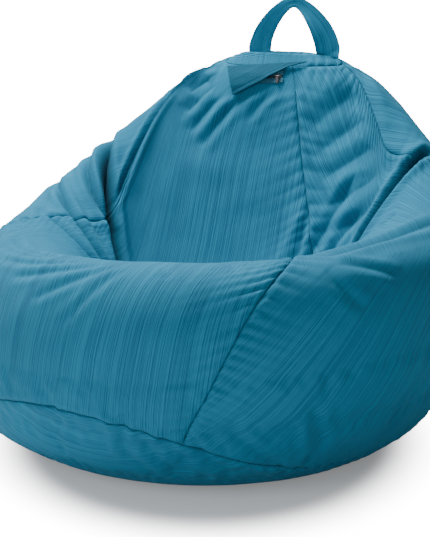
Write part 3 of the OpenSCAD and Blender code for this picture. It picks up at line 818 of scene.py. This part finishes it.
class BAG_OT_base_and_top(bpy.types.Operator):
    """Sew the round base panel and the small top panel"""
    bl_idname = "bag.base_and_top"
    bl_label = "Base and top panels"

    def execute(self, context):
        look = context.scene.bag_cover
        cloth = bpy.data.materials["ribbed cover cloth"]
        self.base(look, cloth)
        self.top(look, cloth)
        return {"FINISHED"}

    def base(self, look, cloth):
        columns = 560
        u = np.arange(columns) * 12 / columns
        rings = np.concatenate([np.linspace(0.6, 2.6, 14), even_rings(lambda r: r * 0, 2.7, BASE_RING, 58)])
        v = np.repeat(rings[:, None], columns, axis=1)
        stations = np.repeat(u[None], len(rings), axis=0)
        v = v + (base_ring(stations) - BASE_RING) * smooth((v - 1.8) / (BASE_RING - 1.8))
        plain, _ = bag_surface(stations, v)
        lengths = run_lengths(plain, 0) + np.linalg.norm(plain[0, :, :2], axis=-1).mean()
        around = run_lengths(np.concatenate([plain, plain[:, :1]], axis=1), 1)[:, :-1]
        edge = lengths[-1:] - lengths
        points, normals, shade = shaped(stations, v, edge, around, look, 0.45)
        points[..., 2] = np.maximum(points[..., 2], 0.0006)
        SEAM_PATHS.append(np.concatenate([points[-1], points[-1][:1]]) -
                          np.concatenate([normals[-1], normals[-1][:1]]) * 0.0014)
        turn = stations * math.pi / 6
        uvs = np.stack([-lengths * np.cos(turn), lengths * np.sin(turn)], axis=-1) + 14
        lip = [points[-1] - normals[-1] * d + unit(points[-2] - points[-1]) * o
               for o, d in TUCK]
        points = np.concatenate([points, np.stack(lip)])
        uvs = np.concatenate([uvs, np.repeat(uvs[-1:], 3, axis=0)])
        # Painted shade: the turned-in seam allowance at the rim is painted fully dark.
        shade = np.pad(shade, ((0, 3), (0, 0)), constant_values=1)
        piece = thickened(grid_mesh("cover_base_panel", points, uvs, wrap=True, cap=(0,), shade=shade),
                          look.cloth_thickness)
        dress(piece, cloth)
        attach(piece, "bag")
        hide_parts("base_panel")

    def top(self, look, cloth):
        columns = 300
        u = np.arange(columns) * 12 / columns
        rings = even_rings(lambda r: r * 0 + 3, CREST_RING, TOP_RING - 0.01, 26)
        v = np.repeat(rings[:, None], columns, axis=1)
        stations = np.repeat(u[None], len(rings), axis=0)
        v = v + (crest_ring(stations) - CREST_RING) * (TOP_RING - v) / (TOP_RING - CREST_RING)
        plain, _ = bag_surface(stations, v)
        lengths = run_lengths(plain, 0)
        around = run_lengths(np.concatenate([plain, plain[:, :1]], axis=1), 1)[:, :-1]
        points, normals, shade = shaped(stations, v, lengths, around, look, 0.6)
        SEAM_PATHS.append(np.concatenate([points[0], points[0][:1]]) -
                          np.concatenate([normals[0], normals[0][:1]]) * 0.0014)
        rim = points[-1]
        middle = rim.mean(0)
        spine = middle + (rim - middle) * np.array([0.72, 0.0, 1.0])
        rise = np.array([0, 0, 0.0012])
        rows = [rim + (spine - rim) * smooth(np.array(w)) + rise * math.sin(math.pi * w / 2)
                for w in (0.25, 0.5, 0.75, 1.0)]
        lip = [points[0] - normals[0] * d + unit(points[1] - points[0]) * o
               for o, d in reversed(TUCK)]
        points = np.concatenate([np.stack(lip), points, np.stack(rows)])
        uvs = np.stack([points[..., 0] + 21, points[..., 1] * 0.6 + points[..., 2]], axis=-1)
        # Painted shade: the turned-in seam allowance at the rim is painted fully dark; the middle of the
        # panel has none.
        shade = np.concatenate([np.ones((3, columns)), shade, np.zeros((4, columns))])
        piece = thickened(grid_mesh("cover_top_panel", points, uvs, wrap=True, cap=(-1,), shade=shade),
                          look.cloth_thickness)
        dress(piece, cloth)
        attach(piece, "bag")
        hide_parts("top_panel")


class BAG_OT_seams(bpy.types.Operator):
    """Run the sewing thread down in the groove of every seam"""
    bl_idname = "bag.seams"
    bl_label = "Seam threads"
    radius: length("Thread radius", "Half the thread's thickness", 0.0007)
    stitch: length("Stitch", "Length of a stitch", 0.0055)

    def execute(self, context):
        sides = 6
        verts, faces = [], []
        for path in SEAM_PATHS:
            run = run_lengths(path, 0)
            count = int(run[-1] / (self.stitch / 4))
            at = np.linspace(0, run[-1], count)
            line = np.stack([np.interp(at, run, path[:, c]) for c in range(3)], axis=1)
            ahead = unit(np.gradient(line, axis=0))
            side = unit(np.cross(ahead, [0.31, 0.17, 0.94]))
            up = np.cross(side, ahead)
            radius = self.radius * (0.75 + 0.45 * np.abs(np.sin(math.pi * at / self.stitch)))
            base = len(verts)
            turns = [2 * math.pi * n / sides for n in range(sides)]
            rows = [line + (side * math.cos(turn) + up * math.sin(turn)) * radius[:, None] for turn in turns]
            verts.extend(np.stack(rows, axis=1).reshape(-1, 3).tolist())
            for a in range(base, base + (count - 1) * sides, sides):
                for n in range(sides):
                    m = (n + 1) % sides
                    faces.append([a + n, a + m, a + sides + m, a + sides + n])
            last = base + (count - 1) * sides
            faces.extend([[*range(base, base + sides)][::-1], [*range(last, last + sides)]])
        mesh = bpy.data.meshes.new("seam_thread")
        mesh.from_pydata(verts, [], faces)
        mesh.polygons.foreach_set("use_smooth", np.ones(len(mesh.polygons), dtype=bool))
        piece = bpy.data.objects.new("seam_thread", mesh)
        context.scene.collection.objects.link(piece)
        thread = grained_material("seam thread", (0.004, 0.04, 0.08), (0.01, 0.08, 0.14), 900, 0.7, 0.0003)
        dress(piece, thread)
        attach(piece, "bag")
        return {"FINISHED"}


class BAG_OT_inside(bpy.types.Operator):
    """Put the thin lining and its bead filling inside the cover"""
    bl_idname = "bag.inside"
    bl_label = "Lining and filling"

    def execute(self, context):
        look = context.scene.bag_cover
        columns = 144
        rings = even_rings(lambda r: r * 0 + 1.0, 1.2, 14.7, 110)
        v, u = np.meshgrid(rings, np.arange(columns) * 12 / columns, indexing="ij")
        points, normals = bag_surface(u, v)
        dip = np.maximum(-fold_lift(points.reshape(-1, 3), look.fold_scale)[0].reshape(u.shape), 0)
        for _ in range(3):
            padded = np.pad(dip, ((1, 1), (0, 0)), mode="edge")
            dip = np.maximum.reduce([padded[:-2], padded[1:-1], padded[2:], np.roll(dip, 1, 1),
                                     np.roll(dip, -1, 1)])
        deep = dip + 0.012 + look.swell * 0.6
        low = np.where(v < 5, smooth(points[..., 2] / 0.06), 1)
        for name, extra, node in (("lining", 0.0, "inner_liner"), ("bead_fill", 0.003, "bead_filling")):
            depth = (0.005 + extra) * (1 - low) + (deep + extra) * low
            inner = points - normals * depth[..., None]
            uvs = np.stack([run_lengths(inner, 1), run_lengths(inner, 0)], axis=-1)
            piece = grid_mesh(name, inner, uvs, wrap=True, cap=(0, -1))
            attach(piece, "bag")
            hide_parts(node)
            if node == "inner_liner":
                pale, bright = (0.62, 0.6, 0.56), (0.78, 0.76, 0.72)
                dress(piece, grained_material("lining cloth", pale, bright, 500, 0.85, 0.0004))
                thickened(piece, 0.0006)
            else:
                dress(piece, self.beads())
        return {"FINISHED"}

    def beads(self):
        material, shader = new_material("foam beads")
        tree = material.node_tree
        place = add_node(tree, "TexCoord").outputs["Object"]
        cells = add_node(tree, "TexVoronoi", {"Scale": 220, "Vector": place}).outputs["Distance"]
        colour = mix_colours(tree, map_range(tree, cells, 0.1, 0.7), (0.85, 0.85, 0.83, 1),
                             (0.45, 0.45, 0.44, 1))
        feed(tree, shader, {"Base Color": colour, "Roughness": 0.6})
        add_relief(tree, shader, cells, 0.002, invert=True)
        return material


class BAG_OT_handle(bpy.types.Operator):
    """Shape the doubled carry strap in a loop over the crest"""
    bl_idname = "bag.handle"
    bl_label = "Carry handle"

    def execute(self, context):
        size = context.scene.bag_strap
        look = context.scene.bag_cover
        x0, y0, z0 = joint_place("handle_fold")
        rows, around = 190, 64
        # Along the strap: up from the left foot, over the top and down to the right foot
        foot = 0.0165
        outer_r = (size.span + size.width) / 2
        inner_r = (size.span - size.width) / 2
        low = 14  # rows in each sewn foot
        turns = np.concatenate([[math.pi] * low, np.linspace(math.pi, 0, rows - 2 * low), [0.0] * low])
        sunk = np.linspace(foot, 0.001, low)
        sink = np.concatenate([sunk, np.zeros(rows - 2 * low), sunk[::-1]])
        share = np.linspace(0, 1, rows)
        lean = np.sign(np.cos(turns)) * np.abs(np.cos(turns)) ** 1.33
        climb = np.abs(np.sin(turns)) ** 1.33
        outer = np.stack([outer_r * lean, size.rise * climb - sink], axis=1)
        inner = np.stack([inner_r * lean, size.grip * climb - sink], axis=1)
        apex = np.exp(-((share - 0.5) / 0.1) ** 2)
        left = np.exp(-((share - 0.22) / 0.17) ** 2)
        right = np.exp(-((share - 0.78) / 0.17) ** 2)
        theta = np.arange(around) * 2 * math.pi / around
        cos, sin = np.cos(theta), np.sin(theta)
        s = 0.5 + 0.5 * np.sign(cos) * np.abs(cos) ** 0.75
        half = 0.5 * size.thickness * np.sign(sin) * np.abs(sin) ** 0.42
        inset = (0.07 * left + 0.1 * apex + 0.04 * right)[:, None]
        across = s[None] * (1 - inset) + inset * 0.5
        plane = inner[:, None] + (outer - inner)[:, None] * across[..., None]
        # Lengthwise folds, deeper over the top where the hand gathers it
        fold = np.zeros((rows, around))
        even = np.ones(rows)
        for centre, wide, deep, where in ((0.2, 0.035, 0.0009, even), (0.82, 0.035, 0.0009, even),
                                          (0.46, 0.07, 0.0022, 0.25 + left + 1.4 * apex),
                                          (0.66, 0.06, 0.0016, 0.15 + right * 0.7 + 1.2 * apex),
                                          (0.33, 0.05, 0.0013, 0.6 * left + 1.3 * apex)):
            wander = centre + 0.05 * np.sin(7 * share + centre * 9)[:, None]
            fold -= deep * np.exp(-((s[None] - wander) / wide) ** 2) * where[:, None]
        face = np.where(sin > 0, 1, -1)
        ends = smooth(share * 14) * smooth((1 - share) * 14)
        bow = (0.011 * left[:, None] * (s[None] - 0.55) - 0.03 * right[:, None] * (s[None] - 0.5) +
               0.012 * (apex * np.sin(6.5 * (share - 0.5)))[:, None] * (s[None] - 0.5))
        wave = 0.0012 * cloth_noise(share[:, None] * 13 + s[None] * 2, s[None] * 3 + 0 * share[:, None], 21)
        depth = half[None] + fold * face * np.minimum(1, np.abs(sin)) + (bow + wave) * ends[:, None]
        points = np.stack([x0 + plane[..., 0], y0 - depth, z0 + plane[..., 1]], axis=-1)
        run = run_lengths((outer + inner) / 2, 0)
        uvs = np.stack([np.where(sin > 0, s, 2 - s)[None] * size.width + 0 * run[:, None] + 31,
                        run[:, None] + 0 * s[None]], axis=-1)
        piece = grid_mesh("carry_strap", points, uvs, wrap=True, cap=(0, -1))
        recalculated(piece)
        # Painted light: the strap is the cover's cloth made 1.3 times lighter, a lit copy of it.
        dress(piece, ribbed_material("strap cloth", look, tone=1.3, pitch=1.25, bump=0.0007))
        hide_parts("carry_handle", "handle_tab_left", "handle_tab_right")
        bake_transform(piece)
        return {"FINISHED"}


class BAG_OT_flap(bpy.types.Operator):
    """Hang the cloth flap over the zip"""
    bl_idname = "bag.flap"
    bl_label = "Zip flap"
    length: length("Length", "Along the seam that holds it", 0.194)
    depth: length("Depth", "From the seam to its lower corner", 0.074)

    def execute(self, context):
        look = context.scene.bag_cover
        cols, rows = 150, 44
        half, drop = self.length / 2, self.depth
        edge_x = np.array([0.020 - half, -0.009, 0.021, 0.054, half - 0.001])
        edge_y = np.array([-drop, -0.58 * drop, -0.36 * drop, -0.14 * drop, -0.0012])
        run = run_lengths(np.stack([edge_x, edge_y], axis=1), 0)
        s = np.linspace(0, 1, cols)
        eased = [np.mean([np.interp(np.clip(s * run[-1] + w, 0, run[-1]), run, e)
                          for w in np.linspace(-0.009, 0.009, 7)], axis=0) for e in (edge_x, edge_y)]
        low = np.stack(eased, axis=1)
        low[0] = edge_x[0], edge_y[0]
        top = np.stack([np.linspace(-half, half, cols), np.zeros(cols)], axis=1)
        t = np.linspace(0, 1, rows)[:, None]
        x = top[None, :, 0] * (1 - t) + low[None, :, 0] * t
        y = top[None, :, 1] * (1 - t) + low[None, :, 1] * t
        z = np.interp(-y, [0, 0.010, 0.022, 0.031, 0.042, 0.051, 0.062, 0.075],
                      [0.0027, 0.0050, 0.0078, 0.0094, 0.0098, 0.0096, 0.0075, 0.0046])
        z = z + 0.0009 * cloth_noise(x * 38 + 4, y * 60 + 2, 31) * smooth(-y / 0.03)
        z = z + 0.0006 * np.exp(-(((1 - t) * (low[None, :, 1] - 0)) / 0.004) ** 2)
        hem = np.abs((1 - t) * -low[None, :, 1] - 0.0075)
        z = z - 0.0005 * np.exp(-(hem / 0.0012) ** 2) * (t > 0.3)
        points = on_bed(x, y, z)
        uvs = np.stack([0.9 * y - 0.437 * x + 41, 0.9 * x + 0.437 * y], axis=-1)
        piece = grid_mesh("zip_flap_cloth", points, uvs)
        recalculated(piece, BED_OUT)
        solid = thickened(piece, 0.0022).modifiers[0]
        solid.offset = 0
        round_edge = piece.modifiers.new("soft edge", "BEVEL")
        round_edge.width = 0.0007
        round_edge.segments = 2
        # Painted shade: the flap is the cover's cloth at half its brightness, a shaded copy of it.
        dress(piece, ribbed_material("flap cloth", look, tone=0.5, pitch=1.15, bump=0.0008))
        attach(piece, "flap")
        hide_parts("zip_flap")
        return {"FINISHED"}


def recalculated(piece, outward=None):
    """Turns a piece's faces outwards, or all towards one side for an open sheet."""
    if outward is not None:
        mesh = piece.data
        normal = sum((p.normal * p.area for p in mesh.polygons), Vector())
        if normal.dot(Vector(outward)) < 0:
            mesh.flip_normals()
        return
    bpy.ops.object.select_all(action="DESELECT")
    piece.select_set(True)
    bpy.context.view_layer.objects.active = piece
    bpy.ops.object.mode_set(mode="EDIT")
    bpy.ops.mesh.select_all(action="SELECT")
    bpy.ops.mesh.normals_make_consistent(inside=False)
    bpy.ops.object.mode_set(mode="OBJECT")
    piece.select_set(False)


class BAG_OT_zip(bpy.types.Operator):
    """Give the zip's tapes, teeth, slider, pull and stops their finish"""
    bl_idname = "bag.zip"
    bl_label = "Zip"

    def execute(self, context):
        tape = grained_material("zip tape", (0.004, 0.05, 0.085), (0.012, 0.11, 0.17), 1400, 0.8, 0.0002)
        nickel = grained_material("nickel", (0.04, 0.042, 0.045), (0.11, 0.11, 0.115), 700, 0.45, 0.00004,
                                  metallic=1.0)
        for node in ("zip_tape_upper", "zip_tape_lower"):
            dress_node(node, tape)
        for node in ("zip_teeth_upper", "zip_teeth_lower", "zip_slider", "zip_pull", "zip_stop_closed",
                     "zip_stop_open"):
            dress_node(node, nickel)
        return {"FINISHED"}


TARGET = Vector((0.025, 0, 0.37))  # what the camera and the lights point at
SWEEP_WIDE, SWEEP_DEEP = 0.45, 0.59  # half the size of the floor round the bag where the glow fades out, a painted shadow
SWEEP_GLOW = 16


class BAG_OT_stage(bpy.types.Operator):
    """Lay the pale floor and set the soft lights and the camera"""
    bl_idname = "bag.stage"
    bl_label = "Floor, lights and camera"

    def execute(self, context):
        look = context.scene.bag_stage
        self.lay_floor(look, context)
        self.light(look, context.scene)
        self.place_camera(look, context.scene)
        return {"FINISHED"}

    def lay_floor(self, look, context):
        bpy.ops.object.select_all(action="DESELECT")
        bpy.ops.mesh.primitive_circle_add(vertices=96, radius=14, fill_type="NGON", location=(0, 0, 0))
        floor = context.object
        floor.name = "studio_floor"
        material, shader = new_material("studio floor paint")
        tree = material.node_tree
        pale = look.floor_colour
        # The floor runs out into a white studio sweep, which only the camera sees; close round the bag the
        # glow falls low in an ellipse, which paints a shadow there on top of the floor's real shadow.
        place = add_node(tree, "TexCoord").outputs["Object"]
        right, ahead = math.cos(look.azimuth), math.sin(look.azimuth)
        total = 0.0
        for axis in ((right / SWEEP_WIDE, ahead / SWEEP_WIDE, 0),
                     (ahead / SWEEP_DEEP, -right / SWEEP_DEEP, 0)):
            part = add_node(tree, "VectorMath", {0: place, 1: axis}, operation="DOT_PRODUCT").outputs["Value"]
            total = math_node(tree, "MULTIPLY_ADD", part, part, total)
        # Painted shadow: glow of 0.2 inside the ellipse round the bag, rising to SWEEP_GLOW outside it.
        sweep = math_node(tree, "POWER", map_range(tree, total, 0.68, 1.45), 1.5)
        sweep = math_node(tree, "MULTIPLY_ADD", sweep, SWEEP_GLOW, 0.2)
        seen = add_node(tree, "LightPath").outputs["Is Camera Ray"]
        tint = mix_colours(tree, object_noise(tree, 40, 3.0), (*(c * 0.985 for c in pale), 1), (*pale, 1))
        feed(tree, shader, {"Base Color": tint, "Roughness": 0.85, "Specular IOR Level": 0.1,
                            "Emission Strength": math_node(tree, "MULTIPLY", sweep, seen),
                            "Emission Color": (1, 1, 1, 1)})
        dress(floor, material)

    def light(self, look, scene):
        world = bpy.data.worlds.new("studio")
        scene.world = world
        world.use_nodes = True
        tree = world.node_tree
        tree.nodes.clear()
        soft = add_node(tree, "Background", {"Color": (0.93, 0.97, 1, 1), "Strength": 0.34})
        bright = add_node(tree, "Background", {"Color": (1, 1, 1, 1), "Strength": SWEEP_GLOW})
        seen = add_node(tree, "LightPath").outputs["Is Camera Ray"]
        mix = add_node(tree, "MixShader", {0: seen, 1: soft.outputs[0], 2: bright.outputs[0]})
        add_node(tree, "OutputWorld", {"Surface": mix.outputs[0]})
        for name, place, size, power in (
                ("overhead_light", (-0.95, 0.45, 2.95), 1.4, look.key_power),
                ("front_light", (-0.6, -3.2, 1.3), 2.2, look.fill_power)):
            lamp = bpy.data.lights.new(name, "AREA")
            lamp.shape = "DISK"
            lamp.size = size
            lamp.energy = power
            holder = bpy.data.objects.new(name, lamp)
            scene.collection.objects.link(holder)
            holder.location = place
            holder.rotation_euler = (TARGET - Vector(place)).to_track_quat("-Z", "Y").to_euler()

    def place_camera(self, look, scene):
        camera = bpy.data.cameras.new("camera")
        camera.lens = look.lens
        camera.sensor_width = 36
        camera.shift_x = -0.008
        camera.shift_y = 0.002
        eye = bpy.data.objects.new("camera", camera)
        scene.collection.objects.link(eye)
        back = Vector((math.sin(look.azimuth) * math.cos(look.elevation),
                       -math.cos(look.azimuth) * math.cos(look.elevation), math.sin(look.elevation)))
        eye.location = TARGET + back * look.distance
        eye.rotation_euler = (-back).to_track_quat("-Z", "Y").to_euler()
        scene.camera = eye


OPERATORS = [BAG_OT_settle, BAG_OT_side_panels, BAG_OT_base_and_top, BAG_OT_seams, BAG_OT_inside,
             BAG_OT_handle, BAG_OT_flap, BAG_OT_zip, BAG_OT_stage]


class BAG_PT_panel(bpy.types.Panel):
    """Lists the pieces of the bean bag chair"""
    bl_idname = "BAG_PT_panel"
    bl_label = "Bean Bag Chair"
    bl_space_type = "VIEW_3D"
    bl_region_type = "UI"
    bl_category = "Bean Bag"

    def draw(self, context):
        for holder in ("bag_sizes", "bag_cover", "bag_strap", "bag_stage"):
            group = getattr(context.scene, holder)
            box = self.layout.box()
            for name in group.__annotations__:
                box.prop(group, name)
        for operator in OPERATORS:
            self.layout.operator(operator.bl_idname)


PROPERTIES = {"bag_sizes": BagSizes, "bag_cover": CoverLook, "bag_strap": StrapSizes, "bag_stage": StageLook}


def register():
    for cls in [*PROPERTIES.values(), *OPERATORS, BAG_PT_panel]:
        bpy.utils.register_class(cls)
    for name, cls in PROPERTIES.items():
        setattr(bpy.types.Scene, name, PointerProperty(type=cls))


def unregister():
    for name in PROPERTIES:
        delattr(bpy.types.Scene, name)
    for cls in [BAG_PT_panel, *reversed(OPERATORS), *PROPERTIES.values()]:
        bpy.utils.unregister_class(cls)


def main():
    register()
    for operator in OPERATORS:
        family, name = operator.bl_idname.split(".")
        getattr(getattr(bpy.ops, family), name)()


if __name__ == "__main__":
    main()
